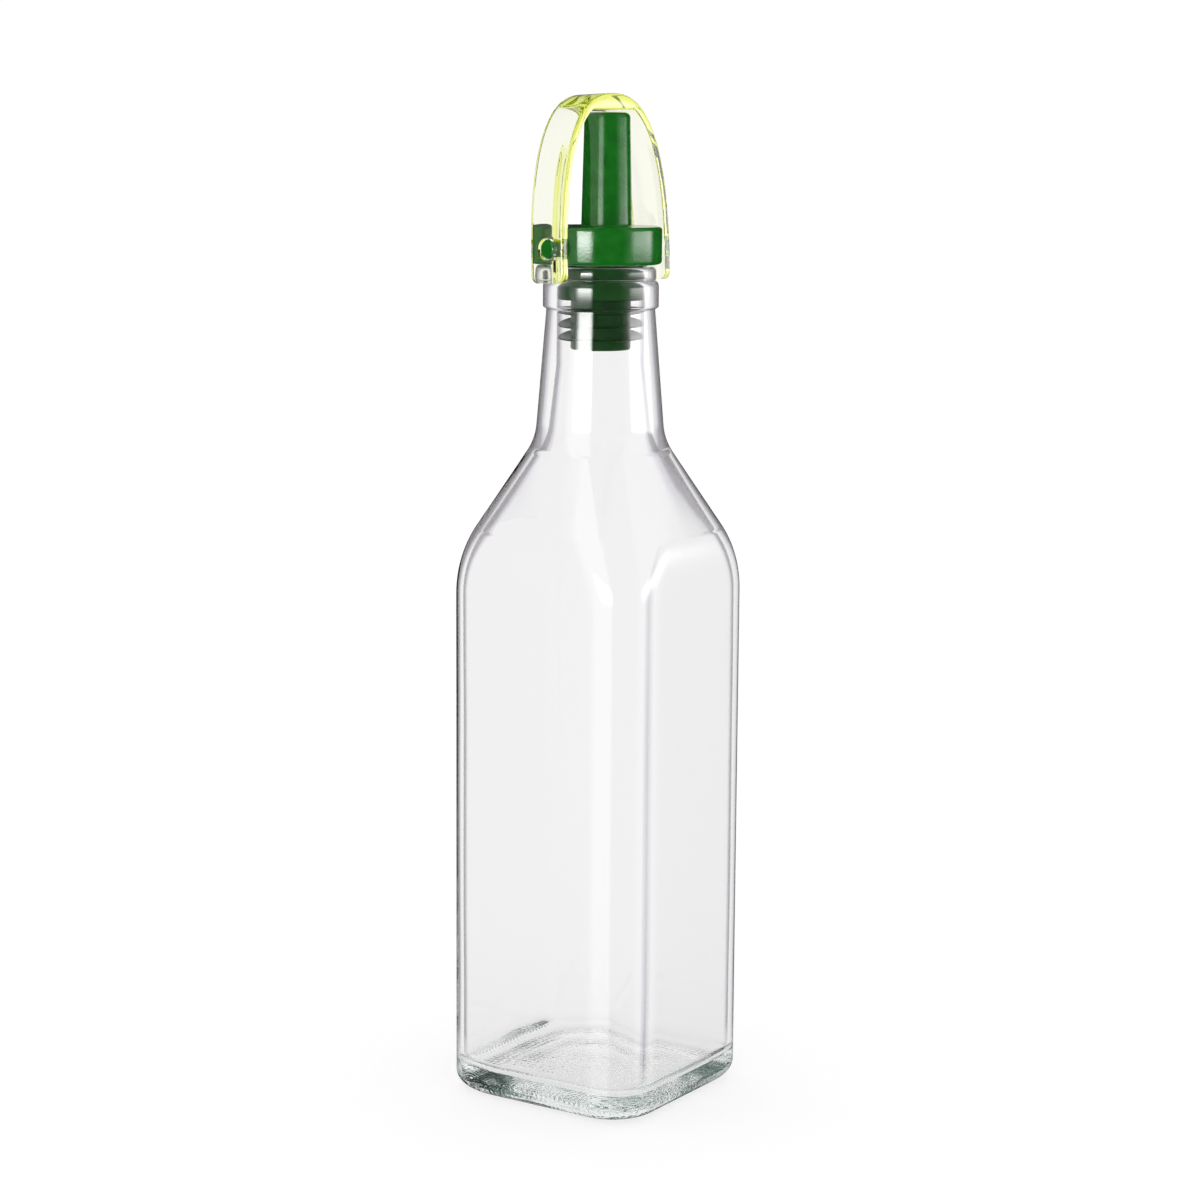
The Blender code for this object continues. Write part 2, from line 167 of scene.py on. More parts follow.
# Studio: a white set seen by camera and through the glass, in a dim room with two softboxes.
WHITE = (1.0, 1.0, 1.0)
BLACK = (0.0, 0.0, 0.0)
BACKGROUND_STRENGTH = 1.03
FLOOR_RADIUS = 6.0
FLOOR_GREY = (0.3, 0.3, 0.3)
FLOOR_GLOW = 0.72
ROOM_RADIUS = 5.0
ROOM_GLOW = 0.02
SOFTBOX_DISTANCE = 1.6
SOFTBOX_LOW = -0.6
SOFTBOX_HIGH = 2.4
SOFTBOX_MIDDLE = 0.24
SOFTBOX_SPREAD = 0.12
SOFTBOXES = (
    # name, bearings where the wash and then the bright middle fade in and out, their strengths
    ("left_softbox", (-36.0, -22.0, 10.0, 20.0), (-20.0, -6.0, 11.0, 20.0), 1.6, 22.0),
    ("right_softbox", (76.0, 90.0, 136.0, 150.0), (88.0, 102.0, 136.0, 150.0), 0.6, 6.5),
)
FLOOR_GAP = 0.2 * MM
LIGHT_BOUNCES = 64

# Glass: the ramps paint shade on it from face on (0) to grazing (1), outside and from within. This
# painted shade stands in for the dark edges that reflections give real glass.
GLASS_IOR = 1.52
GLASS_CLEAR = (0.955, 0.95, 0.955)
GLASS_OUTER_PAINTED_SHADE = ((0.60, GLASS_CLEAR), (0.80, (0.62, 0.61, 0.63)), (0.95, (0.22, 0.22, 0.23)))
GLASS_INNER_PAINTED_SHADE = (
    (0.165, GLASS_CLEAR),
    (0.19, (0.60, 0.58, 0.63)),
    (0.205, (0.22, 0.21, 0.24)),
    (0.235, (0.14, 0.12, 0.12)),
    (0.245, (0.28, 0.24, 0.24)),
)
GLASS_INSIDE_SHEEN = (0.12, 0.12, 0.12)
GLASS_GREEN = (0.34, 0.64, 0.54)
GLASS_DENSITY = 1.5
NECK_FOOT = (0.155, 0.175)
STIPPLE_SCALE = 620.0
STIPPLE_DEPTH = 0.18 * MM
STIPPLE_TOP = (4.6 * MM, 3.8 * MM)

# Plastics.
LIME_IOR = 1.57
LIME_DYE = (0.88, 0.93, 0.04)
LIME_DENSITY = 48.0
LIME_FACE = WHITE
# The band's side faces get a yellower tint: painted glow of light gathered along the edges.
LIME_EDGE_PAINTED_GLOW = (0.97, 0.97, 0.42)
GREEN_RIGID = (0.0075, 0.132, 0.010)
# Stopper green: darker than the pourer's green, as painted shade for the dim light inside the neck.
GREEN_SOFT_PAINTED_SHADE = (0.004, 0.08, 0.005)


# ---------------------------------------------------------------- outlines and meshes


def rounded_path(corners, deviation=0.004 * MM):
    """Points along straight runs between corners (x, z, radius), each corner an arc."""
    points = []
    for index, (x, z, radius) in enumerate(corners):
        here = Vector((x, z))
        if radius <= 0.0 or index in (0, len(corners) - 1):
            points.append(here)
            continue
        before = (Vector(corners[index - 1][:2]) - here).normalized()
        after = (Vector(corners[index + 1][:2]) - here).normalized()
        turn = math.pi - before.angle(after)
        reach = radius * math.tan(turn / 2.0)
        centre = here + (before + after).normalized() * (radius / math.cos(turn / 2.0))
        start = here + before * reach - centre
        end = here + after * reach - centre
        side = math.copysign(turn, start.x * end.y - start.y * end.x)
        arc_step = 2.0 * math.acos(1.0 - deviation / radius)
        steps = max(3, math.ceil(turn / arc_step))
        for step in range(steps + 1):
            points.append(centre + Matrix.Rotation(side * step / steps, 2) @ start)
    return points


def finish_mesh(bm, name, sharp=math.radians(35.0)):
    bmesh.ops.recalc_face_normals(bm, faces=bm.faces)
    mesh = bpy.data.meshes.new(name)
    bm.to_mesh(mesh)
    bm.free()
    mesh.shade_smooth()
    mesh.set_sharp_from_angle(angle=sharp)
    item = bpy.data.objects.new(name, mesh)
    bpy.context.collection.objects.link(item)
    return item


def join_rings(bm, rings):
    for lower, upper in zip(rings, rings[1:]):
        for index, vert in enumerate(lower):
            following = (index + 1) % len(lower)
            bm.faces.new((vert, lower[following], upper[following], upper[index]))


# ---------------------------------------------------------------- glass bottle


def square_from_diagonal(reach, half_side, corner):
    """Section (half side, corner radius) whose corners reach a given distance from the axis."""
    squareness = (reach - ROUND_REACH) / (half_side - ROUND_REACH)
    if squareness <= 0.02:
        return reach, reach
    softness = SHOULDER_SOFTNESS * min(squareness, 1.0)
    side = -softness * math.log(math.exp(-reach / softness) + math.exp(-half_side / softness))
    full_reach = (half_side - corner) * math.sqrt(2.0) + corner
    side += (half_side - side) * max(0.0, (reach - half_side) / (full_reach - half_side)) ** 2
    rounding = (math.sqrt(2.0) * side - reach) / (math.sqrt(2.0) - 1.0)
    return side, min(rounding, side)


def shoulder_corners(neck_radius, neck_height, body_reach, body_height, arc, neck_arc):
    """Outline corners (reach, z, rounding) from the straight body to the tapering neck."""
    slope = math.tan(SHOULDER_SLOPE)
    taper = math.tan(NECK_TAPER)
    knee_height = body_height + arc * math.tan(SHOULDER_SLOPE / 2.0)
    meet = (body_reach + slope * knee_height - neck_radius - taper * neck_height) / (slope - taper)
    meet_reach = neck_radius + taper * (neck_height - meet)
    return [(body_reach, knee_height, arc), (meet_reach, meet, neck_arc)]


def outside_sections():
    """Rings (z, half side, corner radius) from the punt's middle up the outside to the lip."""
    rings = []
    foot_half = BODY_HALF - HEEL_RADIUS
    punt_half = foot_half - BEARING_WIDTH
    for step in range(1, 16):
        part = step / 16.0
        half = punt_half * part
        rings.append((PUNT_HEIGHT * (1.0 - part**PUNT_FULLNESS), half, half * PUNT_CORNER))
    rings.append((0.0, punt_half, BODY_CORNER * 0.9))
    heel = [
        (foot_half, 0.0, 0.0),
        (BODY_HALF, 0.0, HEEL_RADIUS),
        (BODY_HALF, STRAIGHT_LOW * BODY_TOP, 0.0),
    ]
    rings += [(p.y, p.x, BODY_CORNER) for p in rounded_path(heel)]
    for step in range(1, 12):
        height = BODY_TOP * (STRAIGHT_LOW + (1.0 - STRAIGHT_LOW) * step / 12.0)
        rings.append((height, BODY_HALF, BODY_CORNER))

    reach = (BODY_HALF - BODY_CORNER) * math.sqrt(2.0) + BODY_CORNER
    outside = [(reach, STRAIGHT_HIGH * BODY_TOP, 0.0)]
    outside += shoulder_corners(
        NECK_TOP_RADIUS, BEAD_BOTTOM, reach, BODY_TOP, SHOULDER_ARC, NECK_ARC
    )
    outside += [
        (NECK_TOP_RADIUS, BEAD_BOTTOM, 0.5 * MM),
        (BEAD_RADIUS, BEAD_BOTTOM + 0.3 * MM, 0.7 * MM),
        (BEAD_RADIUS, BEAD_TOP, 2.4 * MM),
        (GROOVE_RADIUS, LIP_BOTTOM - 0.1 * MM, 0.25 * MM),
        (LIP_RADIUS, LIP_BOTTOM, 0.4 * MM),
        (LIP_RADIUS, LIP_TOP, 1.3 * MM),
        (BORE_RADIUS, LIP_TOP, 0.8 * MM),
        (BORE_RADIUS, LIP_TOP - BORE_DEPTH, 0.0),
    ]
    for point in rounded_path(outside)[1:]:
        rings.append((point.y, *square_from_diagonal(point.x, BODY_HALF, BODY_CORNER)))
    return rings


def inside_sections():
    """Rings from the bore down the inside wall to the floor's middle."""
    rings = []
    inside_half = BODY_HALF - WALL
    reach = (inside_half - INSIDE_CORNER) * math.sqrt(2.0) + INSIDE_CORNER
    top_reach = NECK_TOP_RADIUS - NECK_WALL
    inside = shoulder_corners(
        top_reach, BEAD_BOTTOM, reach, BODY_TOP, SHOULDER_ARC - WALL, NECK_ARC + NECK_WALL
    )
    inside = [(BORE_RADIUS, LIP_TOP - BORE_DEPTH, 0.0)] + inside[::-1]
    inside.append((reach, STRAIGHT_HIGH * BODY_TOP, 0.0))
    for point in rounded_path(inside)[1:]:
        rings.append((point.y, *square_from_diagonal(point.x, inside_half, INSIDE_CORNER)))
    for step in range(1, 24):
        height = BODY_TOP * (STRAIGHT_HIGH - (STRAIGHT_HIGH - STRAIGHT_LOW) * step / 24.0)
        rings.append((height, inside_half, INSIDE_CORNER))
    floor_half = inside_half - INSIDE_HEEL_RADIUS
    heel = [
        (inside_half, STRAIGHT_LOW * BODY_TOP, 0.0),
        (inside_half, FLOOR_HEIGHT, INSIDE_HEEL_RADIUS),
        (floor_half, FLOOR_HEIGHT, 0.0),
    ]
    rings += [(p.y, p.x, INSIDE_CORNER) for p in rounded_path(heel)[:-1]]
    for step in range(1, 20):
        part = 1.0 - step / 20.0
        crown = FLOOR_HEIGHT + FLOOR_CROWN * (1.0 - part**2)
        rings.append((crown, floor_half * part, min(INSIDE_CORNER, floor_half * part * 0.45)))
    return rings


def section_radius(angle, half_side, corner):
    """Distance from the axis to a rounded square's outline in one direction."""
    fold = abs((angle + math.pi / 4.0) % (math.pi / 2.0) - math.pi / 4.0)
    straight = half_side - corner
    if half_side * math.tan(fold) <= straight:
        return half_side / math.cos(fold)
    along = straight * (math.cos(fold) + math.sin(fold))
    return along + math.sqrt(max(0.0, along**2 - 2.0 * straight**2 + corner**2))


def ring_points(height, half_side, corner):
    """Even run of points round a rounded square whose flats ease into its corners."""
    angles = [math.tau * step / RING_STEPS for step in range(RING_STEPS)]
    radii = [section_radius(angle, half_side, corner) for angle in angles]
    for _ in range(RING_SMOOTHING):
        ahead = radii[1:] + radii[:1]
        behind = radii[-1:] + radii[:-1]
        radii = [0.25 * a + 0.5 * r + 0.25 * b for a, r, b in zip(ahead, radii, behind)]
    polar = zip(angles, radii)
    return [Vector((r * math.cos(a), r * math.sin(a), height)) for a, r in polar]


def blown_wave(point):
    """Slow unevenness of the blown inside wall, largest on the body and none in the bore."""
    below_bore = min(1.0, max(0.0, (0.2 - point.z) / 0.05))
    above_floor = min(1.0, max(0.0, (point.z - FLOOR_ZONE) / 0.02))
    place = Vector((point.x * 38.0, point.y * 38.0, point.z * 16.0)) + Vector((3.1, 7.7, 1.3))
    return WALL_WAVE * (below_bore * above_floor) * noise.noise(place)


def floor_wave(point):
    """Ripples in the thick floor."""
    return FLOOR_WAVE * noise.noise(Vector((point.x * 90.0, point.y * 90.0, 0.7)))


def make_bottle_glass():
    bm = bmesh.new()
    outside = [[bm.verts.new(p) for p in ring_points(*section)] for section in outside_sections()]
    inside = []
    for section in inside_sections():
        ring = []
        for point in ring_points(*section):
            radial = Vector((point.x, point.y, 0.0)).normalized()
            if point.z > FLOOR_ZONE:
                point += radial * blown_wave(point)
            else:
                point.z += floor_wave(point)
            ring.append(bm.verts.new(point))
        inside.append(ring)
    rings = outside + inside
    join_rings(bm, rings)
    for ring, height in ((rings[0], PUNT_HEIGHT), (rings[-1], FLOOR_HEIGHT + FLOOR_CROWN)):
        centre = bm.verts.new((0.0, 0.0, height))
        for index, vert in enumerate(ring):
            bm.faces.new((vert, ring[(index + 1) % len(ring)], centre))
    return finish_mesh(bm, "bottle_glass", math.radians(50.0))


# ---------------------------------------------------------------- pourer


def turned(name, corners, centre_x=0.0, sharp=math.radians(35.0)):
    """Solid turned about an upright axis from an outline of corners (radius, z, rounding)."""
    outline = rounded_path(corners)
    bm = bmesh.new()
    rings = []
    for point in outline:
        if point.x < 1e-7:
            rings.append([bm.verts.new((centre_x, 0.0, point.y))])
            continue
        ring = []
        for step in range(TURN_STEPS):
            angle = math.tau * step / TURN_STEPS
            place = (centre_x + point.x * math.cos(angle), point.x * math.sin(angle), point.y)
            ring.append(bm.verts.new(place))
        rings.append(ring)
    if len(rings[0]) > 1:
        rings.append(rings[0])
    for lower, upper in zip(rings, rings[1:]):
        for step in range(TURN_STEPS):
            turns = ((lower, step), (lower, step + 1), (upper, step + 1), (upper, step))
            face = [ring[turn % len(ring)] for ring, turn in turns]
            bm.faces.new(list(dict.fromkeys(face)))
    return finish_mesh(bm, name, sharp)


def on_pivot():
    """Place of a rod along Y through the cap's pivot, made along Z."""
    return Matrix.Translation((0.0, 0.0, PIVOT_HEIGHT)) @ Matrix.Rotation(math.pi / 2.0, 4, "X")


def combine(target, tool, operation):
    """Boolean of target with tool, then removal of the tool."""
    change = target.modifiers.new("change", "BOOLEAN")
    change.operation = operation
    change.solver = "EXACT"
    change.object = tool
    bpy.context.view_layer.objects.active = target
    bpy.ops.object.modifier_apply(modifier=change.name)
    bpy.data.objects.remove(tool)


def make_pin_rod(radius, reach, dome):
    """Pivot pins as one rod along Y, with rounded ends."""
    rod = turned("pin_rod", [
        (0.0, -reach, 0.0), (radius, -reach, dome), (radius, reach, dome), (0.0, reach, 0.0),
    ])
    rod.data.transform(on_pivot())
    return rod


def make_pourer():
    """Collar with a fillet up to the spout, socket underneath, pouring channel, vent and pins."""
    body = turned("pourer_shell", [
        (0.0, COLLAR_TOP, 0.0),
        (COLLAR_RADIUS, COLLAR_TOP, COLLAR_ROUNDING),
        (COLLAR_RADIUS, COLLAR_BOTTOM, COLLAR_ROUNDING),
        (SOCKET_RADIUS, COLLAR_BOTTOM, 0.3 * MM),
        (SOCKET_RADIUS, SOCKET_TOP, 0.3 * MM),
        (0.0, SOCKET_TOP, 0.0),
    ])
    spout = turned("spout", [
        (0.0, SPOUT_TOP, 0.0),
        (SPOUT_TIP_RADIUS, SPOUT_TOP, 1.5 * MM),
        (SPOUT_FOOT_RADIUS, COLLAR_TOP + 0.01 * MM, 0.7 * MM),
        (SPOUT_FOOT_RADIUS + 2.0 * MM, COLLAR_TOP - 0.05 * MM, 0.0),
        (0.0, COLLAR_TOP - 1.5 * MM, 0.0),
    ], SPOUT_OFFSET)
    combine(body, spout, "UNION")
    combine(body, make_pin_rod(BOSS_RADIUS, BOSS_REACH, 0.4 * MM), "UNION")
    combine(body, make_pin_rod(PIN_RADIUS, PIN_REACH, 0.9 * MM), "UNION")
    channel = turned("channel", [
        (0.0, SPOUT_TOP + TOOL_OVERRUN, 0.0),
        (ORIFICE_RADIUS, SPOUT_TOP + TOOL_OVERRUN, 0.0),
        (ORIFICE_RADIUS, CHANNEL_TOP, 0.0),
        (CHANNEL_RADIUS, CHANNEL_TOP, 0.0),
        (CHANNEL_RADIUS, SOCKET_TOP - TOOL_OVERRUN, 0.0),
        (0.0, SOCKET_TOP - TOOL_OVERRUN, 0.0),
    ], SPOUT_OFFSET)
    vent = turned("vent", [
        (0.0, COLLAR_TOP + TOOL_OVERRUN, 0.0),
        (VENT_RADIUS, COLLAR_TOP + TOOL_OVERRUN, 0.0),
        (VENT_RADIUS, SOCKET_TOP - TOOL_OVERRUN, 0.0),
        (0.0, SOCKET_TOP - TOOL_OVERRUN, 0.0),
    ], VENT_OFFSET)
    socket = turned("socket", [
        (0.0, SOCKET_TOP, 0.0),
        (SOCKET_RADIUS, SOCKET_TOP, 0.0),
        (SOCKET_RADIUS, COLLAR_BOTTOM - 0.5 * MM, 0.0),
        (0.0, COLLAR_BOTTOM - 0.5 * MM, 0.0),
    ])
    combine(body, socket, "DIFFERENCE")
    combine(body, channel, "DIFFERENCE")
    combine(body, vent, "DIFFERENCE")
    body.data.shade_smooth()
    body.data.set_sharp_from_angle(angle=math.radians(30.0))
    body.data.transform(Matrix.Rotation(POURER_TURN, 4, "Z"))
    return body


def make_stopper():
    """Plug and ribbed tube; the soft fins bend up to one side, as they do once pushed in."""
    outline = [
        (TUBE_BORE_RADIUS, STOPPER_TOP, 0.3 * MM),
        (PLUG_RADIUS, STOPPER_TOP, 0.5 * MM),
        (PLUG_RADIUS, PLUG_BOTTOM, 0.6 * MM),
        (TUBE_RADIUS, PLUG_BOTTOM, 0.4 * MM),
    ]
    for height in FIN_HEIGHTS:
        outline += [
            (TUBE_RADIUS, height + FIN_ROOT, 0.25 * MM),
            (PLUG_RADIUS, height + FIN_EDGE, 0.12 * MM),
            (PLUG_RADIUS, height - FIN_EDGE, 0.12 * MM),
            (TUBE_RADIUS, height - FIN_ROOT, 0.25 * MM),
        ]
    outline += [
        (TUBE_RADIUS, STOPPER_BOTTOM, 0.7 * MM),
        (TUBE_BORE_RADIUS, STOPPER_BOTTOM, 0.4 * MM),
    ]
    stopper = turned("stopper", outline)
    for vert in stopper.data.vertices:
        out = (math.hypot(vert.co.x, vert.co.y) - TUBE_RADIUS) / (PLUG_RADIUS - TUBE_RADIUS)
        if out > 0.0 and vert.co.z < PLUG_BOTTOM - 2.0 * MM:
            side = 0.5 + 0.5 * math.cos(math.atan2(vert.co.y, vert.co.x) - FIN_BEND_BEARING)
            vert.co.z += FIN_BEND * side * out**1.5
    stopper.data.transform(Matrix.Rotation(POURER_TURN, 4, "Z"))
    return stopper


# ---------------------------------------------------------------- swing cap


def cap_stations():
    """Stations (outer point, inner point, half width) from foot to foot, in the Y-Z plane."""
    inner_span = CAP_HALF_SPAN - CAP_THICKNESS
    half_width = CAP_WIDTH / 2.0
    legs = []
    for step in range(9):
        angle = math.pi / 2.0 * step / 8.0
        height = CAP_LEG_BOTTOM + CAP_LEG_ROUNDING * (1.0 - math.cos(angle))
        legs.append((height, half_width - CAP_LEG_ROUNDING * (1.0 - math.sin(angle))))
    stations = []
    for height, width in legs:
        stations.append((Vector((CAP_HALF_SPAN, height)), Vector((inner_span, height)), width))
    rise = CAP_APEX - CAP_LEG_TOP
    power = 2.0 / CAP_FULLNESS
    for step in range(CAP_ARCH_STEPS + 1):
        angle = math.pi * step / CAP_ARCH_STEPS
        angle -= CAP_ARCH_EASE * math.sin(2.0 * angle)
        across = math.copysign(abs(math.cos(angle)) ** power, math.cos(angle))
        up = math.sin(angle) ** power if 0 < step < CAP_ARCH_STEPS else 0.0
        outer = Vector((CAP_HALF_SPAN * across, CAP_LEG_TOP + rise * up))
        inner = Vector((inner_span * across, CAP_LEG_TOP + (rise - CAP_THICKNESS) * up))
        inner.y = min(inner.y, CAP_SEAT)
        stations.append((outer, inner, half_width))
    for height, width in reversed(legs):
        stations.append((Vector((-CAP_HALF_SPAN, height)), Vector((-inner_span, height)), width))
    return stations


def band_section(outer, inner, half_width):
    """Closed outline of the band at one station: rounded outer edges and a shallow rib inside."""
    through = (outer - inner).normalized()
    runout = (CAP_RIB_TOP - inner.y) / CAP_RIB_RUNOUT
    rib = CAP_RIB_HEIGHT * min(max(runout, 0.0), 1.0)
    half_outline = [
        (CAP_RIB_HALF_WIDTH - CAP_RIB_SLOPE, inner - through * rib),
        (CAP_RIB_HALF_WIDTH, inner),
    ]
    for step in range(4):
        angle = math.pi / 2.0 * step / 3.0
        across = half_width - CAP_INNER_ROUNDING * (1.0 - math.sin(angle))
        edge = inner + through * CAP_INNER_ROUNDING * (1.0 - math.cos(angle))
        half_outline.append((across, edge))
    for step in range(7):
        angle = math.pi / 2.0 * step / 6.0
        across = half_width - CAP_ROUNDING * (1.0 - math.cos(angle))
        edge = outer - through * CAP_ROUNDING * (1.0 - math.sin(angle))
        half_outline.append((across, edge))
    points = [Vector((x, point.x, point.y)) for x, point in half_outline]
    points += [Vector((-x, point.x, point.y)) for x, point in reversed(half_outline)]
    return points


def make_cap_band():
    bm = bmesh.new()
    rings = []
    for station in cap_stations():
        rings.append([bm.verts.new(point) for point in band_section(*station)])
    join_rings(bm, rings)
    bm.faces.new(rings[0])
    bm.faces.new(rings[-1])
    cap = finish_mesh(bm, "cap_band", CAP_SHARP)
    drill = bmesh.new()
    bmesh.ops.create_cone(
        drill, cap_ends=True, segments=64, radius1=PIN_HOLE_RADIUS, radius2=PIN_HOLE_RADIUS,
        depth=2.0 * CAP_HALF_SPAN + 4.0 * MM, matrix=on_pivot(),
    )
    combine(cap, finish_mesh(drill, "drill"), "DIFFERENCE")
    cap.data.shade_smooth()
    cap.data.set_sharp_from_angle(angle=CAP_SHARP)
    # The band's side faces take the second material, whose yellower tint is painted edge glow.
    for face in cap.data.polygons:
        painted_glow_face = abs(face.normal.x) > 0.6 and abs(face.center.x) > 0.4 * CAP_WIDTH
        face.material_index = 1 if painted_glow_face else 0
    lean = Matrix.Rotation(-CAP_LEAN, 4, "Y")
    pivot = Matrix.Translation((0.0, 0.0, PIVOT_HEIGHT))
    cap.data.transform(Matrix.Rotation(POURER_TURN, 4, "Z") @ pivot @ lean @ pivot.inverted())
    return cap


# ---------------------------------------------------------------- materials


def new_material(name):
    material = bpy.data.materials.new(name)
    material.use_nodes = True
    nodes = material.node_tree.nodes
    return material, nodes, material.node_tree.links, nodes["Principled BSDF"]


def add_ramp(nodes, stops, interpolation="EASE"):
    """Colour ramp with stops (position, colour)."""
    ramp = nodes.new("ShaderNodeValToRGB")
    ramp.color_ramp.interpolation = interpolation
    elements = ramp.color_ramp.elements
    while len(elements) < len(stops):
        elements.new(1.0)
    for element, (position, colour) in zip(elements, stops):
        element.position = position
        element.color = (*colour, 1.0)
    return ramp


def add_noise(nodes, links, scale, detail=2.0, stretch=(1.0, 1.0, 1.0)):
    """Noise over the object's own coordinates, stretched along chosen axes."""
    place = nodes.new("ShaderNodeTexCoord")
    mapping = nodes.new("ShaderNodeMapping")
    mapping.inputs["Scale"].default_value = stretch
    texture = nodes.new("ShaderNodeTexNoise")
    texture.inputs["Scale"].default_value = scale
    texture.inputs["Detail"].default_value = detail
    links.new(place.outputs["Object"], mapping.inputs["Vector"])
    links.new(mapping.outputs["Vector"], texture.inputs["Vector"])
    return texture


def add_math(nodes, links, operation, first, second=None):
    node = nodes.new("ShaderNodeMath")
    node.operation = operation
    links.new(first, node.inputs[0])
    if second is not None:
        links.new(second, node.inputs[1])
    return node.outputs["Value"]


def add_range(nodes, links, value, low, high):
    """0 at low and 1 at high, clamped, where low may be the larger."""
    node = nodes.new("ShaderNodeMapRange")
    node.inputs["From Min"].default_value = low
    node.inputs["From Max"].default_value = high
    links.new(value, node.inputs["Value"])
    return node.outputs["Result"]


def add_bump(nodes, links, shader, height, strength, distance):
    bump = nodes.new("ShaderNodeBump")
    bump.inputs["Strength"].default_value = strength
    bump.inputs["Distance"].default_value = distance
    links.new(height, bump.inputs["Height"])
    links.new(bump.outputs["Normal"], shader.inputs["Normal"])
    return bump


def add_stippling(nodes, links, shader, waves, place):
    """Rows of fine dots round the heel and the bearing ring, on top of the glass's slow waves."""
    where = nodes.new("ShaderNodeTexCoord")
    dots = nodes.new("ShaderNodeTexVoronoi")
    dots.inputs["Scale"].default_value = STIPPLE_SCALE
    dots.inputs["Randomness"].default_value = 0.25
    links.new(where.outputs["Object"], dots.inputs["Vector"])
    low = add_range(nodes, links, place.outputs["Z"], *STIPPLE_TOP)
    bumps = add_bump(nodes, links, shader, dots.outputs["Distance"], 1.0, STIPPLE_DEPTH)
    links.new(low, bumps.inputs["Strength"])
    links.new(waves.outputs["Normal"], bumps.inputs["Normal"])


def add_absorption(material, colour, density):
    nodes = material.node_tree.nodes
    absorb = nodes.new("ShaderNodeVolumeAbsorption")
    absorb.inputs["Color"].default_value = (*colour, 1.0)
    absorb.inputs["Density"].default_value = density
    material.node_tree.links.new(absorb.outputs[0], nodes["Material Output"].inputs["Volume"])


def glass_material():
    """Flint glass: clear face on, painted shade where sight grazes it, faint green where it is
    thick.
    """
    material, nodes, links, shader = new_material("clear_glass_painted_shade_look")
    shader.inputs["Roughness"].default_value = 0.0
    shader.inputs["IOR"].default_value = GLASS_IOR
    shader.inputs["Transmission Weight"].default_value = 1.0
    graze = nodes.new("ShaderNodeLayerWeight")
    side = nodes.new("ShaderNodeNewGeometry")
    outer = add_ramp(nodes, GLASS_OUTER_PAINTED_SHADE)
    inner = add_ramp(nodes, GLASS_INNER_PAINTED_SHADE)
    painted_shade_pick = nodes.new("ShaderNodeMix")
    painted_shade_pick.data_type = "RGBA"
    links.new(graze.outputs["Facing"], outer.inputs["Fac"])
    links.new(graze.outputs["Facing"], inner.inputs["Fac"])
    links.new(side.outputs["Backfacing"], painted_shade_pick.inputs["Factor"])
    links.new(outer.outputs["Color"], painted_shade_pick.inputs["A"])
    links.new(inner.outputs["Color"], painted_shade_pick.inputs["B"])

    # The painted grazing shade goes only on rounded glass: corners and the whole neck, above the
    # heel.
    place = nodes.new("ShaderNodeSeparateXYZ")
    links.new(side.outputs["Position"], place.inputs["Vector"])
    facing = nodes.new("ShaderNodeSeparateXYZ")
    links.new(side.outputs["Normal"], facing.inputs["Vector"])
    product = add_math(nodes, links, "MULTIPLY", facing.outputs["X"], facing.outputs["Y"])
    size = add_math(nodes, links, "ABSOLUTE", product)
    corner = add_range(nodes, links, size, 0.015, 0.09)
    neck = add_range(nodes, links, place.outputs["Z"], *NECK_FOOT)
    rounded = add_math(nodes, links, "MAXIMUM", corner, neck)
    heel = (FLOOR_HEIGHT, 2.5 * FLOOR_HEIGHT)
    above_heel = add_range(nodes, links, place.outputs["Z"], *heel)
    painted_shade_share = add_math(nodes, links, "MULTIPLY", rounded, above_heel)
    # Painted shade: where sight grazes the glass, the ramps give it a darker base colour.
    painted_edge_tint = nodes.new("ShaderNodeMix")
    painted_edge_tint.data_type = "RGBA"
    painted_edge_tint.inputs["A"].default_value = (*GLASS_CLEAR, 1.0)
    links.new(painted_shade_share, painted_edge_tint.inputs["Factor"])
    links.new(painted_shade_pick.outputs["Result"], painted_edge_tint.inputs["B"])
    links.new(painted_edge_tint.outputs["Result"], shader.inputs["Base Color"])

    # Reflections inside the glass are held back, because they would show the white set as haze.
    sheen = nodes.new("ShaderNodeMix")
    sheen.data_type = "RGBA"
    sheen.inputs["A"].default_value = (*WHITE, 1.0)
    sheen.inputs["B"].default_value = (*GLASS_INSIDE_SHEEN, 1.0)
    links.new(side.outputs["Backfacing"], sheen.inputs["Factor"])
    links.new(sheen.outputs["Result"], shader.inputs["Specular Tint"])
    ripple = add_noise(nodes, links, 55.0, 2.0, (1.0, 1.0, 0.3))
    waves = add_bump(nodes, links, shader, ripple.outputs["Fac"], 0.18, 0.4 * MM)
    add_stippling(nodes, links, shader, waves, place)
    add_absorption(material, GLASS_GREEN, GLASS_DENSITY)
    return material


def lime_material(name, painted_edge_tint):
    """Clear styrene with a yellow dye; a tint other than white paints the glow of light gathered at
    its edges.
    """
    material, nodes, links, shader = new_material(name)
    shader.inputs["Base Color"].default_value = (*painted_edge_tint, 1.0)
    shader.inputs["Roughness"].default_value = 0.0
    shader.inputs["IOR"].default_value = LIME_IOR
    shader.inputs["Transmission Weight"].default_value = 1.0
    flow = add_noise(nodes, links, 160.0, 2.0, (1.0, 1.0, 0.25))
    add_bump(nodes, links, shader, flow.outputs["Fac"], 0.25, 0.3 * MM)
    add_absorption(material, LIME_DYE, LIME_DENSITY)
    return material


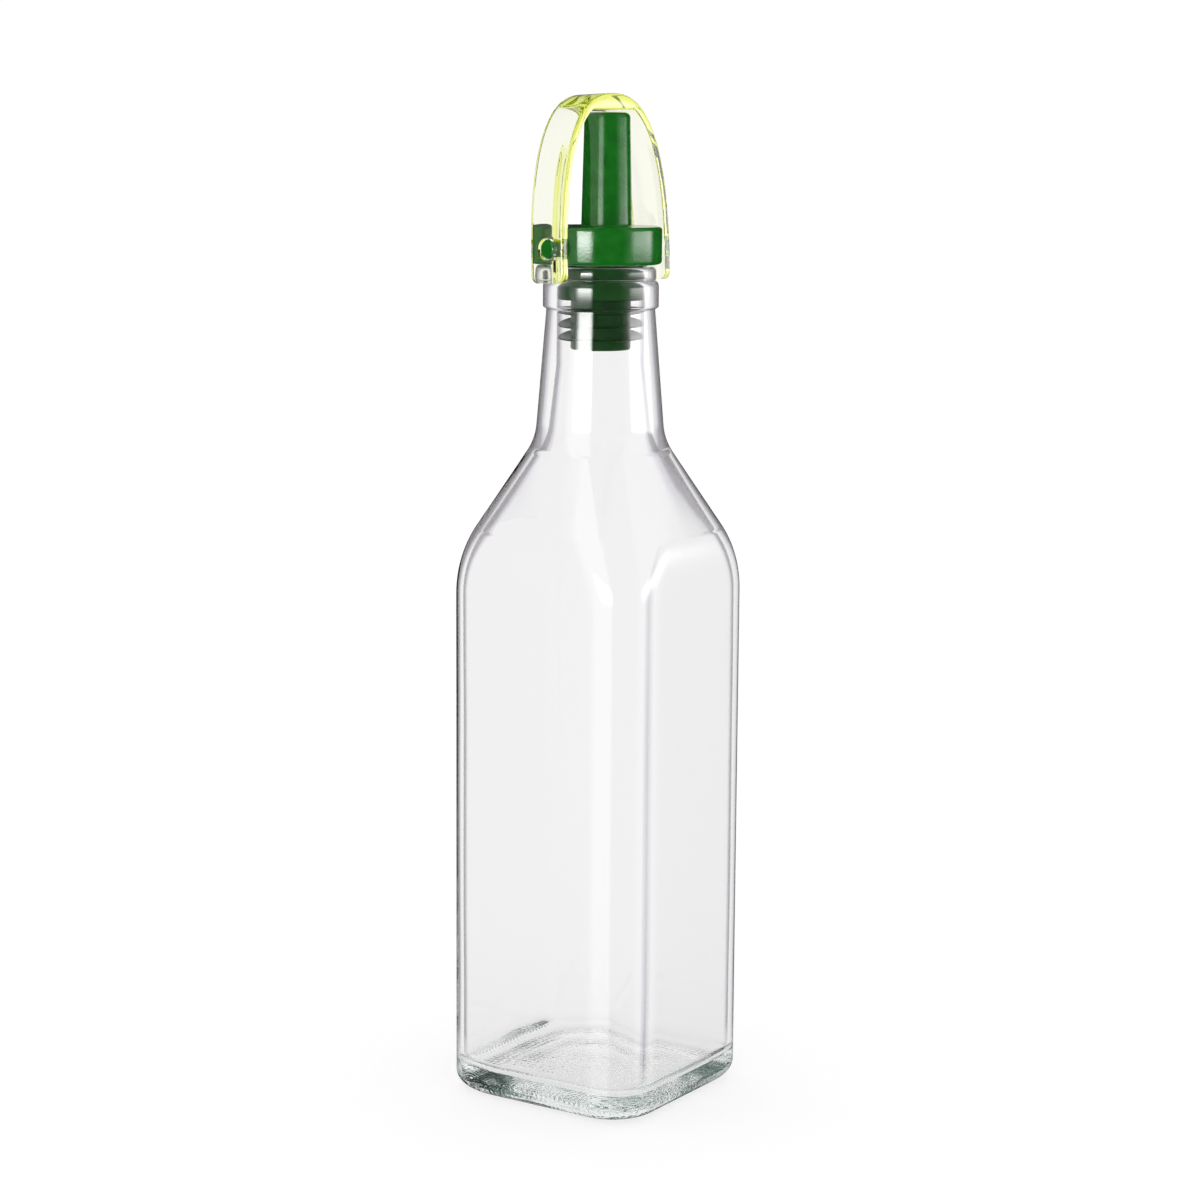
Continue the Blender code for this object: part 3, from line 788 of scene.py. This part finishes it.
def green_material(name, colour, roughness, grain, specular):
    """Moulded green plastic with a fine orange-peel surface and slightly uneven pigment."""
    material, nodes, links, shader = new_material(name)
    shader.inputs["Specular IOR Level"].default_value = specular
    cloud = add_noise(nodes, links, 260.0, 4.0)
    darker = tuple(0.82 * value for value in colour)
    lighter = tuple(1.18 * value for value in colour)
    tone = add_ramp(nodes, [(0.3, darker), (0.7, lighter)], "LINEAR")
    links.new(cloud.outputs["Fac"], tone.inputs["Fac"])
    links.new(tone.outputs["Color"], shader.inputs["Base Color"])
    satin = nodes.new("ShaderNodeMapRange")
    satin.inputs["To Min"].default_value = roughness - 0.04
    satin.inputs["To Max"].default_value = roughness + 0.06
    links.new(cloud.outputs["Fac"], satin.inputs["Value"])
    links.new(satin.outputs["Result"], shader.inputs["Roughness"])
    peel = add_noise(nodes, links, 1500.0, 3.0)
    add_bump(nodes, links, shader, peel.outputs["Fac"], grain, 0.12 * MM)
    return material


# ---------------------------------------------------------------- studio


def show_only_in_reflections(item):
    item.visible_camera = False
    item.visible_diffuse = False
    item.visible_transmission = False
    item.visible_shadow = False
    item.visible_volume_scatter = False


def emission_material(name, base, strength):
    """Matt surface of a base colour that also glows white."""
    material, _, _, shader = new_material(name)
    shader.inputs["Base Color"].default_value = (*base, 1.0)
    shader.inputs["Specular IOR Level"].default_value = 0.0
    shader.inputs["Emission Color"].default_value = (*WHITE, 1.0)
    shader.inputs["Emission Strength"].default_value = strength
    return material


def make_floor():
    bm = bmesh.new()
    bmesh.ops.create_circle(bm, cap_ends=True, segments=96, radius=FLOOR_RADIUS)
    floor = finish_mesh(bm, "studio_floor")
    material = emission_material("studio_floor_look", FLOOR_GREY, FLOOR_GLOW)
    material.node_tree.nodes["Principled BSDF"].inputs["Roughness"].default_value = 0.9
    floor.data.materials.append(material)
    floor.location.z = -FLOOR_GAP
    floor.visible_glossy = False


def make_room():
    """Dim room round the white set, which only reflections see."""
    bm = bmesh.new()
    bmesh.ops.create_icosphere(bm, subdivisions=4, radius=ROOM_RADIUS)
    room = finish_mesh(bm, "studio_room")
    room.data.materials.append(emission_material("studio_room_look", BLACK, ROOM_GLOW))
    show_only_in_reflections(room)


def fade(value, start, full, last, end):
    """Smooth weight that is 1 between full and last, and 0 outside start and end."""
    rise = min(1.0, max(0.0, (value - start) / (full - start)))
    fall = min(1.0, max(0.0, (end - value) / (end - last)))
    part = min(rise, fall)
    return part * part * (3.0 - 2.0 * part)


def make_softbox(name, wash_bearings, middle_bearings, wash, middle):
    """Tall curved panel, brightest at the pourer's height, which only reflections see."""
    bm = bmesh.new()
    glow = bm.verts.layers.float.new("glow")
    columns, rows = 60, 120
    grid = []
    for row in range(rows + 1):
        height = SOFTBOX_LOW + (SOFTBOX_HIGH - SOFTBOX_LOW) * row / rows
        bright = middle * math.exp(-(((height - SOFTBOX_MIDDLE) / SOFTBOX_SPREAD) ** 2))
        line = []
        for column in range(columns + 1):
            bearing = wash_bearings[0] + (wash_bearings[3] - wash_bearings[0]) * column / columns
            angle = math.radians(bearing)
            across, along = SOFTBOX_DISTANCE * math.sin(angle), -SOFTBOX_DISTANCE * math.cos(angle)
            vert = bm.verts.new((across, along, height))
            strength = wash * fade(bearing, *wash_bearings)
            strength += bright * fade(bearing, *middle_bearings)
            vert[glow] = strength
            line.append(vert)
        grid.append(line)
    for lower, upper in zip(grid, grid[1:]):
        for column in range(columns):
            bm.faces.new((lower[column], lower[column + 1], upper[column + 1], upper[column]))
    panel = finish_mesh(bm, name)
    material = emission_material(name + "_look", BLACK, 1.0)
    nodes = material.node_tree.nodes
    reader = nodes.new("ShaderNodeAttribute")
    reader.attribute_name = "glow"
    target = nodes["Principled BSDF"].inputs["Emission Strength"]
    material.node_tree.links.new(reader.outputs["Fac"], target)
    panel.data.materials.append(material)
    show_only_in_reflections(panel)


def make_world():
    world = bpy.data.worlds.new("studio")
    world.use_nodes = True
    background = world.node_tree.nodes["Background"]
    background.inputs["Color"].default_value = (*WHITE, 1.0)
    background.inputs["Strength"].default_value = BACKGROUND_STRENGTH
    bpy.context.scene.world = world


def make_camera():
    data = bpy.data.cameras.new("product_camera")
    data.lens = CAMERA_LENS
    data.sensor_width = CAMERA_SENSOR
    data.shift_x, data.shift_y = CAMERA_SHIFT
    data.clip_start = 0.01
    camera = bpy.data.objects.new("product_camera", data)
    bpy.context.collection.objects.link(camera)
    sine, cosine = math.sin(CAMERA_BEARING), math.cos(CAMERA_BEARING)
    place = Vector((CAMERA_DISTANCE * sine, -CAMERA_DISTANCE * cosine, CAMERA_HEIGHT))
    level = math.cos(CAMERA_PITCH)
    forward = Vector((-sine * level, cosine * level, -math.sin(CAMERA_PITCH)))
    right = Vector((cosine, sine, 0.0))
    up = right.cross(forward)
    rolled_right = right * math.cos(CAMERA_ROLL) + up * math.sin(CAMERA_ROLL)
    rolled_up = rolled_right.cross(forward)
    turn = Matrix((rolled_right, rolled_up, -forward)).transposed()
    camera.matrix_world = Matrix.Translation(place) @ turn.to_4x4()
    bpy.context.scene.camera = camera


# ---------------------------------------------------------------- assembly


def main():
    make_camera()
    bottle = make_bottle_glass()
    bottle.data.materials.append(glass_material())
    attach(bottle, "bottle")
    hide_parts("glass_bottle")

    cap = make_cap_band()
    cap.data.materials.append(lime_material("lime_face_look", LIME_FACE))
    # Second material: painted edge glow for the band's side faces.
    cap.data.materials.append(lime_material("lime_edge_painted_glow_look", LIME_EDGE_PAINTED_GLOW))
    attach(cap, "cap")
    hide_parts("swing_cap")

    rigid = green_material(
        "green_rigid_look", GREEN_RIGID, roughness=0.12, grain=0.16, specular=0.5
    )
    # The stopper's darker base colour is painted shade for the dim inside of the neck.
    soft = green_material("green_soft_painted_shade_look", GREEN_SOFT_PAINTED_SHADE, roughness=0.3, grain=0.3, specular=0.12)
    pieces = (
        (make_pourer(), rigid, "pourer_body", "green_polypropylene"),
        (make_stopper(), soft, "ribbed_stopper", "green_polyethylene"),
    )
    for item, material, node, slot in pieces:
        item.data.materials.clear()
        item.data.materials.append(material)
        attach(item, "pourer")
        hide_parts(node)

    make_floor()
    make_room()
    for softbox in SOFTBOXES:
        make_softbox(*softbox)
    make_world()
    view = bpy.context.scene.view_settings
    view.view_transform = "Standard"
    cycles = bpy.context.scene.cycles
    cycles.max_bounces = LIGHT_BOUNCES
    cycles.transmission_bounces = LIGHT_BOUNCES
    cycles.glossy_bounces = LIGHT_BOUNCES


main()
